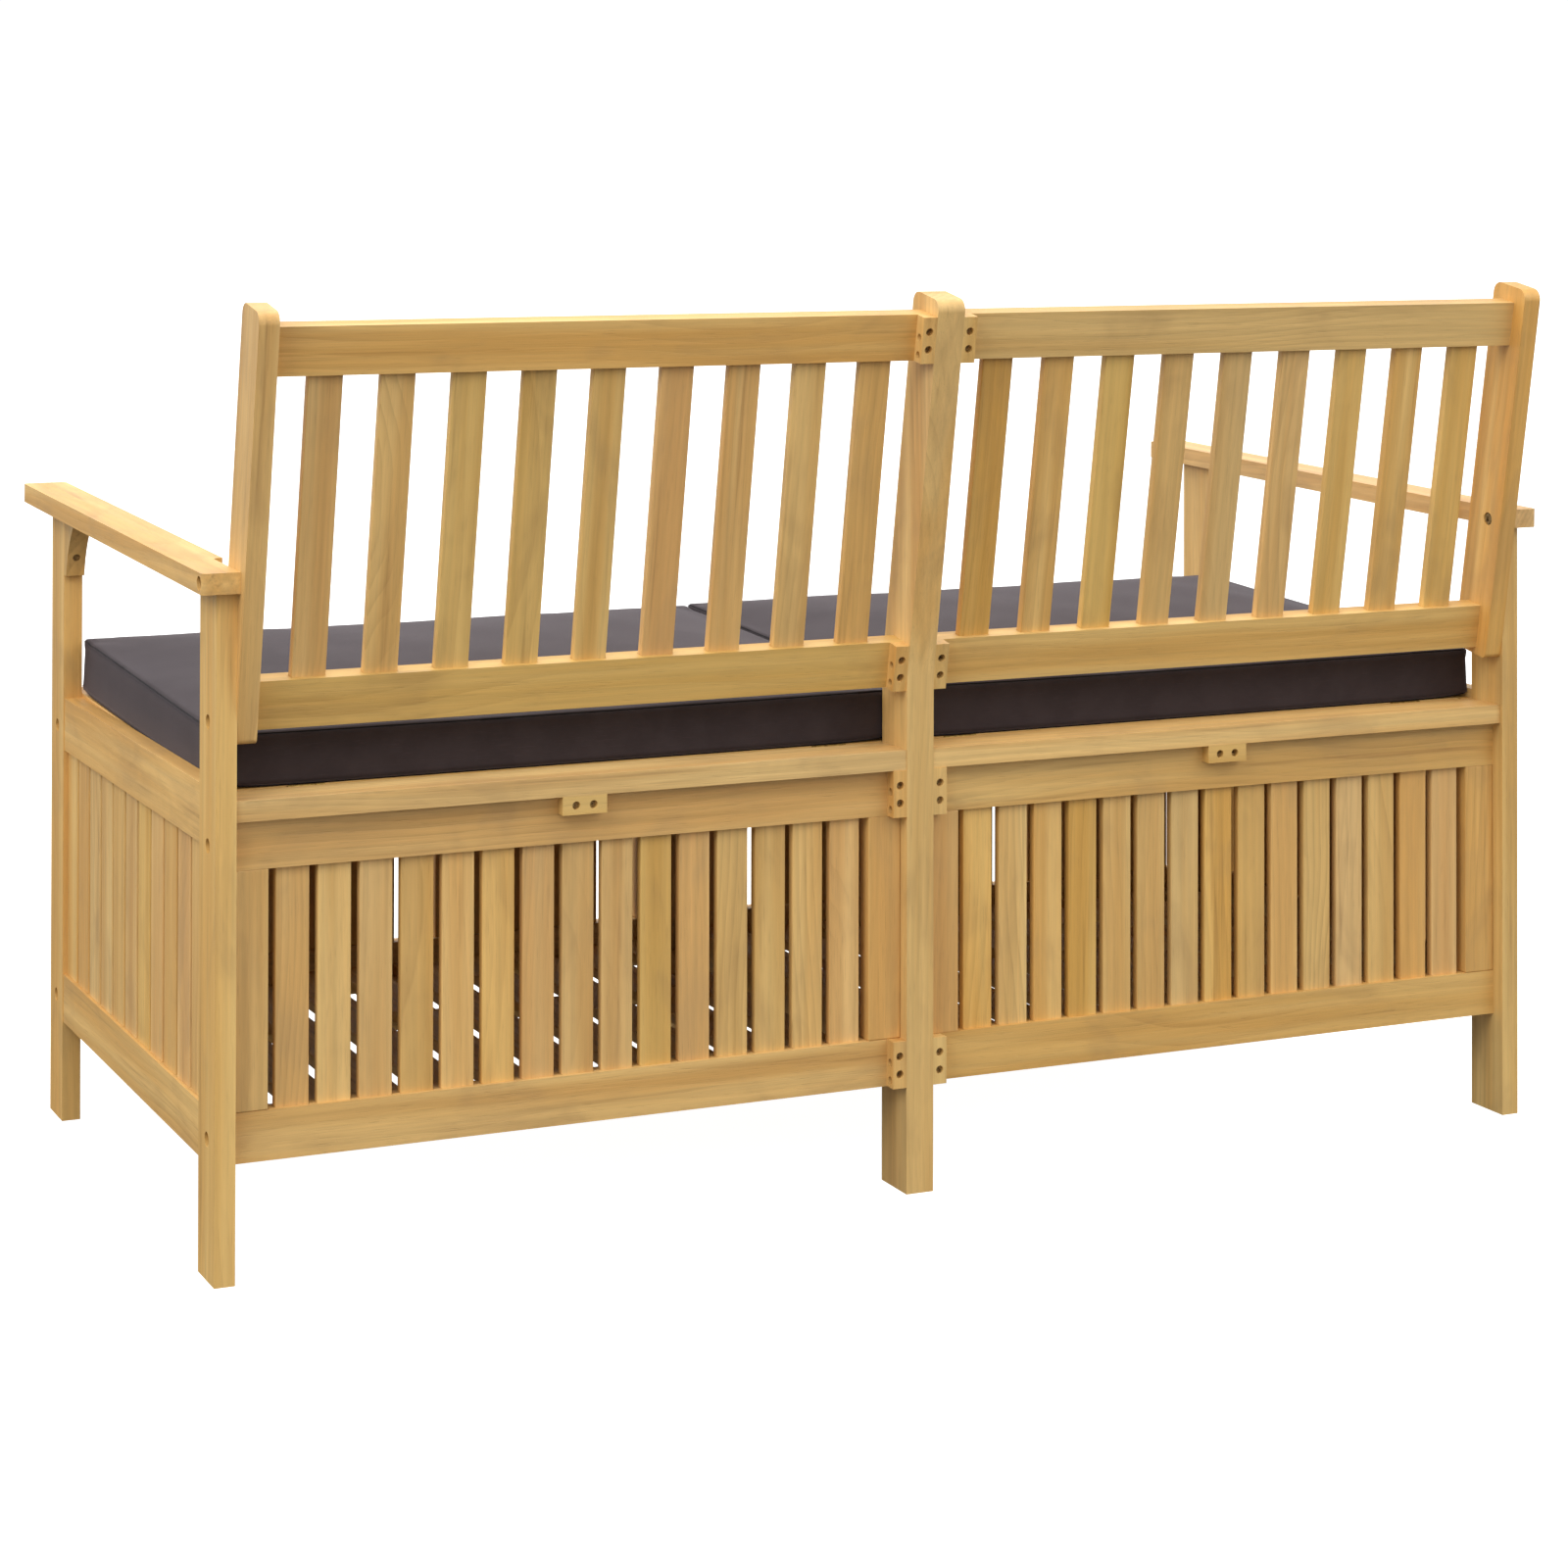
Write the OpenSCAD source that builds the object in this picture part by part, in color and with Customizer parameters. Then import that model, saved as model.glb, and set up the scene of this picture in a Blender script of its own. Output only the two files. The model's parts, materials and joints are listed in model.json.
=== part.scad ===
/* [Overall] */
// Length over the outer faces of the end legs
body_l = 1460; // [1200:10:1800]
// Depth over the front and rear faces of the legs
body_d = 662; // [560:1:760]
// Height of the backrest tops above the ground
body_h = 908; // [820:1:1000]

/* [Legs] */
// Thickness of an end leg along the bench
leg_t = 20; // [18:1:30]
// Depth of every leg and back upright
leg_d = 56; // [48:1:70]
// Thickness of the two middle posts along the bench
post_t = 30; // [26:1:40]
// How far the rear middle post stands in from the rear leg faces
post_inset = 3; // [0:0.5:6]

/* [Box] */
// Underside of the lowest rails above the ground
rail_z = 107; // [80:1:140]
// Height of the bottom rails of the front and rear panels
panel_low_h = 47; // [40:1:70]
// Height of the bottom rails of the end panels
side_low_h = 51; // [40:1:70]
// Height of the top rails of the front and rear panels
panel_top_h = 47; // [40:1:60]
// Height of the top rails of the end panels
side_top_h = 56; // [40:1:64]
// Thickness of all panel rails
rail_t = 20; // [18:1:26]
// Distance from the leg faces to the front and rear panels
panel_inset = 17; // [10:1:20]
// Top of the end panels above the top of the seat board
side_rise = 10; // [4:1:14]
// Thickness of the panel slats
slat_t = 10; // [8:0.5:12]
// Slats in each front or rear panel
panel_slats = 15; // [8:1:18]
// Width of the end stiles of the front and rear panels
panel_stile_w = 36; // [28:1:50]
// Gap between neighbouring panel slats
panel_gap = 8; // [6:0.5:14]
// Slats in each end panel
side_slats_n = 11; // [7:1:13]
// Gap between neighbouring slats of an end panel
side_gap = 6; // [4:0.5:10]
// Depth of the slat tenons in their rails
tenon_l = 10; // [6:1:14]
// Clearance round a slat tenon in its mortise
tenon_play = 0.2; // [0.1:0.05:0.4]

/* [Floor] */
// Width of a floor slat
floor_slat_w = 45; // [35:1:60]
// Thickness of a floor slat
floor_slat_t = 12; // [10:1:16]
// Floor slats in each bay
floor_slats_n = 10; // [7:1:11]
// Width of a floor batten
floor_batten_w = 36; // [28:1:46]

/* [Seat] */
// Top of the rear seat boards above the ground
seat_z = 445.5; // [400:0.5:480]
// Thickness of the rear seat boards
board_t = 20; // [18:1:26]
// Slope of the lids, higher at the front
seat_tilt = 1.5; // [0:0.1:2.5]
// Thickness of the lid slats
lid_slat_t = 14; // [12:1:18]
// Slats in each lid
lid_slats_n = 8; // [6:1:9]
// Gap between neighbouring lid slats
lid_gap = 9; // [6:0.5:12]
// Width of the battens under a lid
lid_batten_w = 44; // [38:1:60]
// Thickness of the battens under a lid
lid_batten_t = 18; // [14:1:22]
// Gap from a lid's end to its neighbour and to the seat strip
lid_side_gap = 3; // [2:0.5:5]
// Gap between a lid and its rear seat board
lid_rear_gap = 4; // [3.6:0.1:5]

/* [Cushions] */
// Thickness of a seat cushion
cushion_t = 54; // [35:1:60]
// Distance from a cushion's front to the front edge of its lid
cushion_back = 54; // [10:1:90]
// Gap from a cushion's ends to the middle post and to the end upright, which it passes as the lid opens
cushion_gap = 1; // [0.5:0.5:8]

/* [Backrest] */
// Lean of the backrest from the vertical
recline = 10.3; // [6:0.1:13]
// Height above the seat where the backrest starts to lean
bend_rise = 73.5; // [60:0.5:85]
// Thickness of the end uprights of the backrest
stile_t = 20; // [18:1:26]
// Radius of the rounded upright ends
round_r = 12; // [4:1:16]
// Height of the backrest rails
back_rail_h = 47; // [40:1:60]
// Thickness of the backrest rails
back_rail_t = 22; // [18:1:24]
// Top rail's upper edge below the top of the uprights
back_rail_drop = 17; // [10:1:40]
// Lower rail's lower edge below the lean line
back_low_drop = 15; // [4:1:18]
// Inset of the backrest rails from the rear of the uprights
back_inset = 18; // [14:1:20]
// Slats in each half of the backrest
back_slats_n = 9; // [5:1:10]
// Width of a backrest slat
back_slat_w = 34; // [26:1:38]
// Thickness of a backrest slat
back_slat_t = 10; // [8:0.5:12]

/* [Armrests] */
// Top of an armrest above the seat, at the rear leg faces
arm_rise = 214; // [160:0.5:240]
// Armrest overhang inside the leg
arm_in = 10; // [4:1:16]
// Thickness of an armrest
arm_t = 20; // [18:1:28]
// Armrest overhang outside the leg
arm_out = 17; // [8:1:20]
// Armrest overhang in front of the front leg
arm_front = 68; // [30:1:90]
// Armrest overhang behind the rear leg
arm_rear = 11; // [4:1:14]
// Slope of the armrests, higher at the front
arm_tilt = 1.4; // [0:0.1:3]
// Length of the armrest's inner notch ahead of the leaning stile
arm_notch = 56; // [10:1:90]
// Length of the bracket under an armrest
bracket_l = 54; // [40:1:70]
// Height of the bracket under an armrest
bracket_h = 66; // [50:1:80]

/* [Joinery] */
// Width of a corner block
block_w = 15; // [14:1:20]
// Width of the small block under each rear seat board
mid_block_w = 46; // [40:1:60]
// Height of the small block under each rear seat board
mid_block_h = 18; // [16:1:22]
// Radius of a counterbore for a leg bolt
bolt_bore_r = 7; // [6:0.5:8]
// Depth of a counterbore for a leg bolt
bolt_bore_d = 7; // [5:0.5:9]
// Radius of a leg bolt's shank
bolt_r = 3; // [2.5:0.5:4]
// Radius of a block screw's counterbore
screw_bore_r = 4; // [3.5:0.1:4.5]
// Radius of a block screw's shank
screw_r = 1.8; // [1.5:0.1:2.2]
// Clearance round bolts and screws
bolt_play = 0.15; // [0.1:0.05:0.3]

/* [Hinges] */
// Length of a hinge
hinge_l = 36; // [30:1:50]
// Radius of a hinge knuckle
knuckle_r = 3; // [2.6:0.1:3.2]
// Radius of a hinge pin
pin_r = 1.5; // [1.2:0.1:1.7]
// Running clearance of a pin in the turning knuckle
pin_play = 0.05; // [0.02:0.01:0.1]
// Hinge pin below the top of the seat board
hinge_drop = 2; // [1:0.5:2.5]

/* [Hidden] */
$fn = 48;

wood = [0.80, 0.63, 0.38];
wood_light = [0.85, 0.69, 0.44];
wood_dark = [0.70, 0.53, 0.31];
steel = [0.66, 0.66, 0.68];
brass = [0.72, 0.60, 0.34];
fabric = [0.22, 0.20, 0.23];

bend_z = seat_z + bend_rise;
arm_z = seat_z + arm_rise;
// Length of the straight backrest upright above the bend, from the overall height
back_l = (body_h - bend_z - (leg_d - round_r) * sin(recline) - round_r) / cos(recline) + round_r;
// The origin lies under the middle of the whole object
y_back_reach = (back_l - round_r) * sin(recline) - round_r * cos(recline) + round_r;
y_front_reach = body_d + arm_front;
y_rear = (y_front_reach - y_back_reach) / 2;
y_front = y_rear - body_d;

x_end = body_l / 2;
x_in = x_end - leg_t;
x_post = post_t / 2;
panel_len = x_in - x_post;
x_bay = (x_in + x_post) / 2;

board_z = seat_z - board_t;
rear_top_z = board_z - panel_top_h;
y_panel_rear = y_rear - panel_inset;
y_panel_front = y_front + panel_inset;
hinge_z = seat_z - hinge_drop;
board_front = y_rear - post_inset - leg_d + 1;
board_rear = y_rear - 4;
y_hinge = board_front - lid_rear_gap / 2;

lid_y0 = -lid_rear_gap / 2;
lid_l = y_hinge + lid_y0 - (y_front + 4);
lid_slat_w = (lid_l - (lid_slats_n - 1) * lid_gap) / lid_slats_n;
x_arm = x_in - arm_in;
arm_w = arm_out + leg_t + arm_in;
lid_x0 = lid_side_gap;
lid_w = x_arm - 2 * lid_side_gap;
lid_rest_gap = 0.4;
front_top_z = seat_z + (y_hinge - y_panel_front - rail_t) * tan(seat_tilt) - lid_slat_t / cos(seat_tilt)
  - lid_rest_gap - panel_top_h;
centre_top_z = seat_z - lid_slat_t - lid_rest_gap;

side_t = leg_t - 1;
side_top_z = seat_z + side_rise - side_top_h;
side_l = body_d - 2 * leg_d;
panel_slat_w = (panel_len - 2 * panel_stile_w - (panel_slats + 1) * panel_gap) / panel_slats;
side_slat_w = (side_l - (side_slats_n - 1) * side_gap) / side_slats_n;
back_bay = x_in - stile_t - x_post;
back_gap = (back_bay - back_slats_n * back_slat_w) / (back_slats_n + 1);

back_top_z = back_l - back_rail_drop - back_rail_h;
back_low_z = -back_low_drop;

floor_z = rail_z + 12;
floor_gap = (panel_len - floor_slats_n * floor_slat_w) / (floor_slats_n + 1);
arm_under_z = arm_z - arm_t;
arm_l = body_d + arm_front + arm_rear;
bolt_head_r = bolt_bore_r - 0.8;
screw_head_r = screw_bore_r - 1;
back_block_d = back_inset - post_inset;
panel_block_d = panel_inset - post_inset;

// ---- placing helpers ----

module mirrored(side) {
  scale([side, 1, 1]) children();
}

// Draws a profile given as (y, z) and extrudes it along X from x0
module along_x(x0, t) {
  translate([x0, 0, 0]) rotate([90, 0, 90]) linear_extrude(t) children();
}

// Frame of the leaning backrest: rear faces at y = 0, z runs up the uprights
module leaning() {
  translate([0, y_rear, bend_z]) rotate([-recline, 0, 0]) children();
}

// Frame of the armrests: y = 0 at the rear leg faces, z = 0 at the underside
module arm_frame() {
  translate([0, y_rear, arm_under_z]) rotate([-arm_tilt, 0, 0]) children();
}

// Frame of the lids: y = 0 at the hinge line, z = 0 at the lid's top
module lid_frame() {
  translate([0, y_hinge, seat_z]) rotate([-seat_tilt, 0, 0]) children();
}

// Underside of the armrest at a distance from the rear leg faces
function arm_bottom(y) = arm_under_z + (y_rear - y) * tan(arm_tilt);

// A rounded end for an upright: width w along the first axis, length l along the second
module rounded_end(w, l, r) {
  union() {
    square([w, l - r]);
    translate([r, 0]) square([w - 2 * r, l]);
    translate([r, l - r]) circle(r);
    translate([w - r, l - r]) circle(r);
  }
}

// ---- legs and posts ----

module leg_shape(y0, y1) {
  along_x(x_in, leg_t)
    polygon([[y0, 0], [y1, 0], [y1, arm_bottom(y1)], [y0, arm_bottom(y0)]]);
}

module leg_rear(side) {
  color(wood) mirrored(side) difference() {
    leg_shape(y_rear - leg_d, y_rear);
    leg_bolts(true);
    side_tenon_cuts();
  }
}

module leg_front(side) {
  color(wood) mirrored(side) difference() {
    leg_shape(y_front, y_front + leg_d);
    leg_bolts(true);
    side_tenon_cuts();
    bracket_screws(true);
  }
}

module post_rear() {
  color(wood) difference() {
    along_x(-x_post, post_t) translate([y_rear - post_inset, 0]) post_profile();
    block_screws_all(true);
    floor_batten_set(tenon_play);
  }
}

// Turns a point of the leaning frame, given as (y, z), into the upright one
function lean(p) = [
  p.x * cos(recline) + p.y * sin(recline),
  bend_z - p.x * sin(recline) + p.y * cos(recline)
];

// Side view of the rear middle post: upright below the bend, leaning above it
module post_profile() {
  union() {
    polygon([
      [-leg_d, 0], [0, 0], lean([0, 0]), lean([0, back_l - round_r]), lean([-round_r, back_l]),
      lean([round_r - leg_d, back_l]), lean([-leg_d, back_l - round_r]),
      [-leg_d, bend_z + leg_d * tan(recline / 2)]
    ]);
    translate(lean([-round_r, back_l - round_r])) circle(round_r);
    translate(lean([round_r - leg_d, back_l - round_r])) circle(round_r);
  }
}

module post_front() {
  color(wood) difference() {
    translate([-x_post, y_front, 0]) cube([post_t, leg_d, front_top_z + panel_top_h - 1.5]);
    centre_rail_tenons(tenon_play);
    floor_batten_set(tenon_play);
  }
}

// ---- end panels ----

// The tenons of an end rail, 8 mm lower and higher than the rail and 2 mm inside its faces
module side_tenons(z, h, play) {
  translate([x_in + 2 - play, y_front + leg_d - tenon_l - play, z + 8 - play])
    cube([side_t - 3 + 2 * play, side_l + 2 * tenon_l + 2 * play, h - 16 + 2 * play]);
}

module side_tenon_cuts() {
  side_tenons(side_top_z, side_top_h, tenon_play);
  side_tenons(rail_z, side_low_h, tenon_play);
}

module side_rail_body(z, h) {
  union() {
    translate([x_in, y_front + leg_d, z]) cube([side_t, side_l, h]);
    side_tenons(z, h, 0);
  }
}

module side_top_rail(side) {
  color(wood) mirrored(side) difference() {
    side_rail_body(side_top_z, side_top_h);
    side_slat_set(tenon_play);
  }
}

module side_bottom_rail(side) {
  color(wood) mirrored(side) difference() {
    side_rail_body(rail_z, side_low_h);
    side_slat_set(tenon_play);
    floor_batten_set(tenon_play);
  }
}

module side_slat_set(play) {
  low = rail_z + side_low_h - tenon_l;
  high = side_top_z + tenon_l;
  for (i = [0 : side_slats_n - 1])
    translate([x_in + 6 - play, y_front + leg_d + i * (side_slat_w + side_gap) - play, low - play])
      cube([slat_t - 1 + 2 * play, side_slat_w + 2 * play, high - low + 2 * play]);
}

module side_slats(side) {
  color(wood_light) mirrored(side) side_slat_set(0);
}

// ---- front and rear panels ----

module panel_rail(y, z, h) {
  translate([x_post, y, z]) cube([panel_len, rail_t, h]);
}

// Slats between two rails; z0 and z1 are the rails' inner edges
module panel_slat_set(y, z0, z1, play) {
  for (i = [0 : panel_slats - 1])
    translate([
      x_post + panel_stile_w + panel_gap + i * (panel_slat_w + panel_gap) - play,
      y + (rail_t - slat_t) / 2 - play,
      z0 - tenon_l - play
    ]) cube([panel_slat_w + 2 * play, slat_t + 2 * play, z1 - z0 + 2 * tenon_l + 2 * play]);
}

module panel_stile_set(y, z0, z1, play) {
  for (x = [x_post, x_in - panel_stile_w])
    translate([x, y, z0]) union() {
      cube([panel_stile_w, rail_t, z1 - z0]);
      translate([6 - play, rail_t / 3 - play, -tenon_l - play])
        cube([panel_stile_w - 12 + 2 * play, rail_t / 3 + 2 * play, z1 - z0 + 2 * tenon_l + 2 * play]);
    }
}

module rear_top_rail(side) {
  color(wood) mirrored(side) difference() {
    panel_rail(y_panel_rear - rail_t, rear_top_z, panel_top_h);
    rear_slat_shapes(tenon_play);
    rear_stile_shapes(tenon_play);
    leg_bolts(true);
    block_screws_all(true);
  }
}

module rear_bottom_rail(side) {
  color(wood) mirrored(side) difference() {
    panel_rail(y_panel_rear - rail_t, rail_z, panel_low_h);
    rear_slat_shapes(tenon_play);
    rear_stile_shapes(tenon_play);
    leg_bolts(true);
    block_screws_all(true);
  }
}

module rear_slat_shapes(play) {
  panel_slat_set(y_panel_rear - rail_t, rail_z + panel_low_h, rear_top_z, play);
}

module rear_stile_shapes(play) {
  panel_stile_set(y_panel_rear - rail_t, rail_z + panel_low_h, rear_top_z, play);
}

module front_slat_shapes(play) {
  panel_slat_set(y_panel_front, rail_z + panel_low_h, front_top_z, play);
}

module front_stile_shapes(play) {
  panel_stile_set(y_panel_front, rail_z + panel_low_h, front_top_z, play);
}

module front_top_rail(side) {
  color(wood) mirrored(side) difference() {
    panel_rail(y_panel_front, front_top_z, panel_top_h);
    front_slat_shapes(tenon_play);
    front_stile_shapes(tenon_play);
    leg_bolts(true);
  }
}

module front_bottom_rail(side) {
  color(wood) mirrored(side) difference() {
    panel_rail(y_panel_front, rail_z, panel_low_h);
    front_slat_shapes(tenon_play);
    front_stile_shapes(tenon_play);
    leg_bolts(true);
  }
}

module rear_stiles() {
  color(wood) for (side = [1, -1]) mirrored(side) rear_stile_shapes(0);
}

module front_stiles() {
  color(wood) for (side = [1, -1]) mirrored(side) front_stile_shapes(0);
}

module rear_slats(side) {
  color(wood_light) mirrored(side) rear_slat_shapes(0);
}

module front_slats(side) {
  color(wood_light) mirrored(side) front_slat_shapes(0);
}

// ---- middle rails and floor ----

module centre_rail_tenons(play) {
  y1 = y_front + leg_d;
  for (z = [rail_z, centre_top_z - panel_top_h])
    translate([-x_post + 8 - play, y1 - tenon_l - play, z + 8 - play])
      cube([post_t - 16 + 2 * play, tenon_l + 1 + play, panel_top_h - 16 + 2 * play]);
}

module centre_rails() {
  y0 = y_front + leg_d;
  y1 = y_rear - post_inset - leg_d;
  color(wood) difference() {
    union() {
      for (z = [rail_z, centre_top_z - panel_top_h])
        translate([-x_post + 3, y0, z]) cube([post_t - 6, y1 - y0, panel_top_h]);
      centre_rail_tenons(0);
    }
    floor_batten_set(tenon_play);
  }
}

// Three battens run the whole length and pass through the middle bottom rail
module floor_batten_set(play) {
  y0 = y_panel_front + rail_t;
  y1 = y_panel_rear - rail_t - floor_batten_w;
  for (y = [y0, (y0 + y1) / 2 - 105, y1])
    translate([-x_in - 3 - play, y - play, rail_z + 2 - play])
      cube([2 * x_in + 6 + 2 * play, floor_batten_w + 2 * play, 10 + 2 * play]);
}

module floor_battens() {
  color(wood_dark) difference() {
    floor_batten_set(0);
    for (side = [1, -1]) mirrored(side) translate([x_in - 1, y_front, 0]) cube([30, leg_d + 0.2, 300]);
    for (side = [1, -1])
      mirrored(side) translate([x_in - 1, y_rear - leg_d - 0.2, 0]) cube([30, leg_d + 1, 300]);
  }
}

module floor_slats() {
  y0 = y_panel_front + rail_t + 2;
  y1 = y_panel_rear - rail_t - 2;
  color(wood_dark) for (side = [1, -1]) mirrored(side)
    for (i = [0 : floor_slats_n - 1])
      translate([x_post + floor_gap + i * (floor_slat_w + floor_gap), y0, floor_z])
        cube([floor_slat_w, y1 - y0, floor_slat_t]);
}

// ---- rear seat boards ----

module seat_board(side) {
  color(wood_light) mirrored(side) difference() {
    translate([x_post, board_front, board_z]) cube([panel_len, board_rear - board_front, board_t]);
    hinge_relief();
  }
}

// A fixed strip fills the seat between each lid and the end panel, under the armrest
module seat_strips() {
  color(wood_light) for (side = [1, -1]) mirrored(side) lid_frame()
    translate([x_arm, lid_y0 - lid_l, -lid_slat_t]) cube([x_in - x_arm, lid_l, lid_slat_t]);
}

// ---- backrest ----

module back_stile(side) {
  low = (bend_z - seat_z - 51) / cos(recline);
  color(wood) mirrored(side) difference() {
    leaning() union() {
      along_x(x_in - stile_t, stile_t) translate([-leg_d, 0]) rounded_end(leg_d, back_l, round_r);
      along_x(x_in - stile_t, stile_t) translate([-leg_d, 0.01]) mirror([0, 1]) rounded_end(leg_d, low, 6);
    }
    leg_bolts(true);
    back_rail_tenons(tenon_play);
  }
}

module back_rail_tenons(play) {
  leaning() for (z = [back_low_z, back_top_z])
    translate([x_in - stile_t - 1, -back_inset - back_rail_t + 5 - play, z + 7 - play])
      cube([tenon_l + 1 + play, back_rail_t - 10 + 2 * play, back_rail_h - 14 + 2 * play]);
}

module back_rail(z) {
  leaning() union() {
    translate([x_post, -back_inset - back_rail_t, z]) cube([back_bay, back_rail_t, back_rail_h]);
    translate([x_in - stile_t - 1, -back_inset - back_rail_t + 5, z + 7])
      cube([tenon_l + 1 - tenon_play, back_rail_t - 10, back_rail_h - 14]);
  }
}

module back_slat_set(play) {
  z0 = back_low_z + back_rail_h - tenon_l;
  z1 = back_top_z + tenon_l;
  y = -back_inset - back_rail_t / 2 - back_slat_t / 2;
  leaning() for (i = [0 : back_slats_n - 1])
    translate([x_post + back_gap + i * (back_slat_w + back_gap) - play, y - play, z0 - play])
      cube([back_slat_w + 2 * play, back_slat_t + 2 * play, z1 - z0 + 2 * play]);
}

module back_top_rail(side) {
  color(wood) mirrored(side) difference() {
    back_rail(back_top_z);
    back_slat_set(tenon_play);
    block_screws_all(true);
  }
}

module back_bottom_rail(side) {
  color(wood) mirrored(side) difference() {
    back_rail(back_low_z);
    back_slat_set(tenon_play);
    block_screws_all(true);
  }
}

module back_slats(side) {
  color(wood_light) mirrored(side) back_slat_set(0);
}

// ---- armrests ----

module armrest(side) {
  stile_front = leg_d / cos(recline) - (arm_z - bend_z) * tan(recline);
  color(wood) mirrored(side) difference() {
    arm_frame() translate([0, arm_rear, 0]) linear_extrude(arm_t) arm_outline(x_arm);
    arm_frame() translate([0, 0, -20]) linear_extrude(60) notch_outline(stile_front + arm_notch);
    leg_bolts(true);
    bracket_screws(true);
  }
}

// Plan of an armrest, seen from above, with rounded front corners and a clipped rear corner
module arm_outline(x0) {
  r = 5;
  union() {
    translate([x0, -arm_l + r]) square([arm_w, arm_l - r - 4]);
    translate([x0 + r, -arm_l]) square([arm_w - 2 * r, arm_l]);
    translate([x0, -8]) square([arm_w - r, 8]);
    translate([x0 + r, -arm_l + r]) circle(r);
    translate([x0 + arm_w - r, -arm_l + r]) circle(r);
    translate([x0 + arm_w - r, -r]) circle(r);
  }
}

// Plan of the notch that lets the leaning stile stand beside the leg, rounded at its front corner
module notch_outline(l) {
  r = arm_in * 0.8;
  translate([x_arm - 1, r - l]) square([arm_in + 1, l - r + arm_rear + 5]);
  translate([x_arm - 1, -l]) square([arm_in + 1 - r, r]);
  translate([x_in - r, r - l]) circle(r);
}

// A curved bracket between the front leg and the armrest
module arm_brackets() {
  y0 = y_front + leg_d;
  z1 = arm_bottom(y0);
  hollow_r = bracket_h * 1.5;
  color(wood_dark) for (side = [1, -1]) mirrored(side) difference() {
    along_x(x_in, leg_t) difference() {
      polygon([
        [y0, z1 - bracket_h], [y0 + 14, z1 - bracket_h],
        [y0 + bracket_l, z1 - 12], [y0 + bracket_l, arm_bottom(y0 + bracket_l)], [y0, z1]
      ]);
      translate([y0 + bracket_l * 0.5 + hollow_r * 0.80, z1 - bracket_h * 0.5 - hollow_r * 0.52])
        circle(hollow_r, $fn = 96);
    }
    bracket_screws(true);
  }
}

// ---- corner blocks and their screws ----

// Two screws into the rail and two into the post, one pair a little higher
module block_screw_pair(h, depth, cut) {
  for (z = [h * 0.24, h * 0.62])
    translate([block_w / 2, 0, z + 3]) rotate([90, 0, 0]) wood_screw(depth, cut);
  for (z = [h * 0.24, h * 0.62])
    translate([block_w, -depth / 2, z - 4]) rotate([0, -90, 0]) wood_screw(block_w, cut);
}

// A screw along +Z from the face at z = 0, through a piece of the given thickness
module wood_screw(through, cut) {
  play = cut ? bolt_play : 0;
  sink = 6;
  bite = 11;
  if (cut) {
    translate([0, 0, -1]) cylinder(r = screw_bore_r, h = sink + 1);
    cylinder(r = screw_r + play, h = through + bite + 0.2);
  } else {
    difference() {
      union() {
        translate([0, 0, sink - 2]) cylinder(r = screw_head_r, h = 2);
        translate([0, 0, sink - 1]) cylinder(r = screw_r, h = through + bite - sink + 1);
      }
      translate([0, 0, sink - 3]) cylinder(r = 1.3, h = 2.2, $fn = 6);
    }
  }
}

// Places children at the corner blocks of the +X half; their heights are passed on
module at_blocks_low() {
  translate([x_post, y_rear - post_inset, rail_z]) children();
}

module at_blocks_seat() {
  translate([x_post, y_rear - post_inset, rear_top_z]) children();
}

module at_blocks_back(z) {
  leaning() translate([x_post, 0, z]) children();
}

module block_body(h, depth) {
  translate([0, -depth, 0]) cube([block_w, depth, h]);
}

module corner_blocks() {
  color(wood) for (side = [1, -1]) mirrored(side) difference() {
    union() {
      at_blocks_low() block_body(panel_low_h, panel_block_d);
      at_blocks_seat() block_body(panel_top_h, panel_block_d);
      for (z = [back_low_z, back_top_z])
        at_blocks_back(z) translate([0, -post_inset, 0]) block_body(back_rail_h, back_block_d);
    }
    block_screws_half(true);
  }
}

module block_screws_half(cut) {
  at_blocks_low() block_screw_pair(panel_low_h, panel_block_d, cut);
  at_blocks_seat() block_screw_pair(panel_top_h, panel_block_d, cut);
  for (z = [back_low_z, back_top_z])
    at_blocks_back(z) translate([0, -post_inset, 0]) block_screw_pair(back_rail_h, back_block_d, cut);
  mid_block_screws(cut);
}

module block_screws_all(cut) {
  for (side = [1, -1]) mirrored(side) block_screws_half(cut);
}

module mid_block_screws(cut) {
  for (dx = [-9, 9])
    translate([x_bay + dx, y_rear - 4, board_z - mid_block_h / 2]) rotate([90, 0, 0])
      wood_screw(panel_inset - 4, cut);
}

module board_blocks() {
  color(wood_light) for (side = [1, -1]) mirrored(side) difference() {
    translate([x_bay - mid_block_w / 2, y_panel_rear, board_z - mid_block_h])
      cube([mid_block_w, panel_inset - 4, mid_block_h]);
    mid_block_screws(true);
  }
}

module bracket_screws(cut) {
  y0 = y_front + leg_d;
  z1 = arm_bottom(y0);
  translate([x_in + leg_t / 2, y0 + 17, z1 - bracket_h + 20]) rotate([90, 0, 0]) wood_screw(17, cut);
  translate([x_in + leg_t / 2, y0 + bracket_l - 16, z1 - 15]) wood_screw(15, cut);
}

module block_screws() {
  color(steel) block_screws_all(false);
}

// ---- leg bolts and barrel nuts ----

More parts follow.
